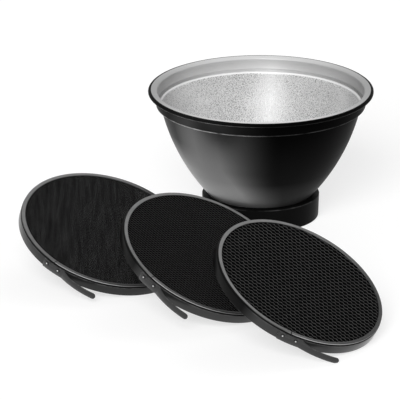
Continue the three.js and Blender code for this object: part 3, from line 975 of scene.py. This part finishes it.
def rivetOutline(r):
    inner = gridShape["radius"] - gridShape["wall"]
    headLow = footRadius + leverShape["thickness"] + r["gap"]
    headHigh = headLow + r["headHeight"]
    return softened([
        (0, inner, 0, "rivet"),
        (r["radius"], inner, 0, "rivet"),
        (r["radius"], headLow, 0, "rivet"),
        (r["headRadius"], headLow, r["edge"], "rivet"),
        (r["headRadius"], headHigh, r["domeRound"], "rivet"),
        (0, headHigh, 0, "rivet"),
    ])


splitTurn = gridShape["split"] / 2 / gridShape["radius"]
coreRadius = gridShape["radius"] - gridShape["wall"] - leverShape["gap"]
coreLow = gridShape["lip"] + leverShape["gap"] - gridShape["height"]
coreHigh = -gridShape["lip"] - leverShape["gap"]
coreLabels = {1: "CoreUpper", -1: "CoreLower", 0: "Core"}
rivetHeight = Matrix.Translation((0, 0, rivetShape["middle"] * mm))

for name, kind in gridKinds.items():
    body = prefix = "grid_" + name
    place = gridMatrix(name, kind)
    band = spun(bandOutline(gridShape, name + "Band"), gridShape["sides"], splitTurn, 2 * math.pi - splitTurn)
    makePiece(name + "Band", band, body, [prefix + "_band"], place)
    for side in kind["halves"]:
        cells = honeycomb(kind["pitch"], kind["foil"], kind["rows"], coreLow, coreHigh, coreRadius,
                          name + "Foil", side)
        makePiece(name + coreLabels[side], cells, body, [prefix + "_core"], place, sharp=30)
    lever = makePiece(name + "Lever", leverMesh(leverShape), None,
                      [prefix + "_lever_foot", prefix + "_lever_blade"], place, sharp=50)
    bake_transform(lever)
    for number, side in ((1, -1), (2, 1)):
        stand = place @ Matrix.Rotation(side * rivetTurn, 4, "Z") @ rivetHeight
        stand = stand @ Matrix.Rotation(math.pi / 2, 4, "Y")
        makePiece("%sRivet%d" % (name, number), spun(rivetOutline(rivetShape), rivetShape["sides"]), body,
                  ["%s_rivet_%d" % (prefix, number)], stand)
    print(name, "grid made")

# Pale floor and soft studio light
floorTone = {"colour": 0.38, "lift": 0.67, "size": 40.0}
floorMesh = bpy.data.meshes.new("floor")
half = floorTone["size"] / 2
floorCorners = [(-half, -half, 0), (half, -half, 0), (half, half, 0), (-half, half, 0)]
floorMesh.from_pydata(floorCorners, [], [(0, 1, 2, 3)])
floor = bpy.data.objects.new("floor", floorMesh)
bpy.context.collection.objects.link(floor)


# Camera, glossy and transmission rays see the plain background. They are these outputs of Light Path.
backgroundRays = (0, 3, 6)


def seesBackground(f):
    return sum(f.add("LightPath", output=ray) for ray in backgroundRays).atMost(1.0)


def floorFinish():
    f = Finish("floorTone")
    cast = f.add("BsdfDiffuse", None, {"Color": (*grey(floorTone["colour"]), 1)})
    lift = f.add("Emission", None, {"Strength": seesBackground(f) * floorTone["lift"]})
    f.add("OutputMaterial", None, {"Surface": f.add("AddShader", None, {0: cast, 1: lift})})
    return f.owner


floorMesh.materials.append(floorFinish())

worldTone = {"ambient": 0.34, "background": 1.0}
world = bpy.data.worlds.new("studio")
bpy.context.scene.world = world
sky = Finish("studio", world)
strength = seesBackground(sky).fit(0, 1, worldTone["ambient"], worldTone["background"])
sky.add("OutputWorld", None, {"Surface": sky.add("Background", None, {"Strength": strength})})

# Large soft lamps: the direction each shines from, its width in degrees and its strength. Metal doesn't
# mirror them.
suns = {
    "front": {"from": (-0.17, -0.83, 0.53), "width": 34, "strength": 3.1},
    "back": {"from": (0.42, 0.62, 0.66), "width": 36, "strength": 0.6},
}
sunDistance = 2.0
for name, sun in suns.items():
    lampData = bpy.data.lights.new(name, "SUN")
    lampData.angle = math.radians(sun["width"])
    lampData.energy = sun["strength"]
    lamp = bpy.data.objects.new(name, lampData)
    lamp.location = Vector(sun["from"]) * sunDistance
    lamp.rotation_euler = Vector(sun["from"]).to_track_quat("Z", "Y").to_euler()
    lamp.visible_glossy = False
    bpy.context.collection.objects.link(lamp)

# A tall narrow softbox for the band of light inside the bowl, in metres
strip = {"place": (-0.62, -2.9, 1.5), "aim": (0.05, 0.13, 0.08), "size": (0.20, 1.5), "power": 6.3}
stripData = bpy.data.lights.new("strip", "AREA")
stripData.shape = "RECTANGLE"
stripData.size, stripData.size_y = strip["size"]
stripData.energy = strip["power"]
stripBox = bpy.data.objects.new("strip", stripData)
stripBox.location = strip["place"]
stripBox.rotation_euler = (stripBox.location - Vector(strip["aim"])).to_track_quat("Z", "Y").to_euler()
bpy.context.collection.objects.link(stripBox)
print("studio lit")
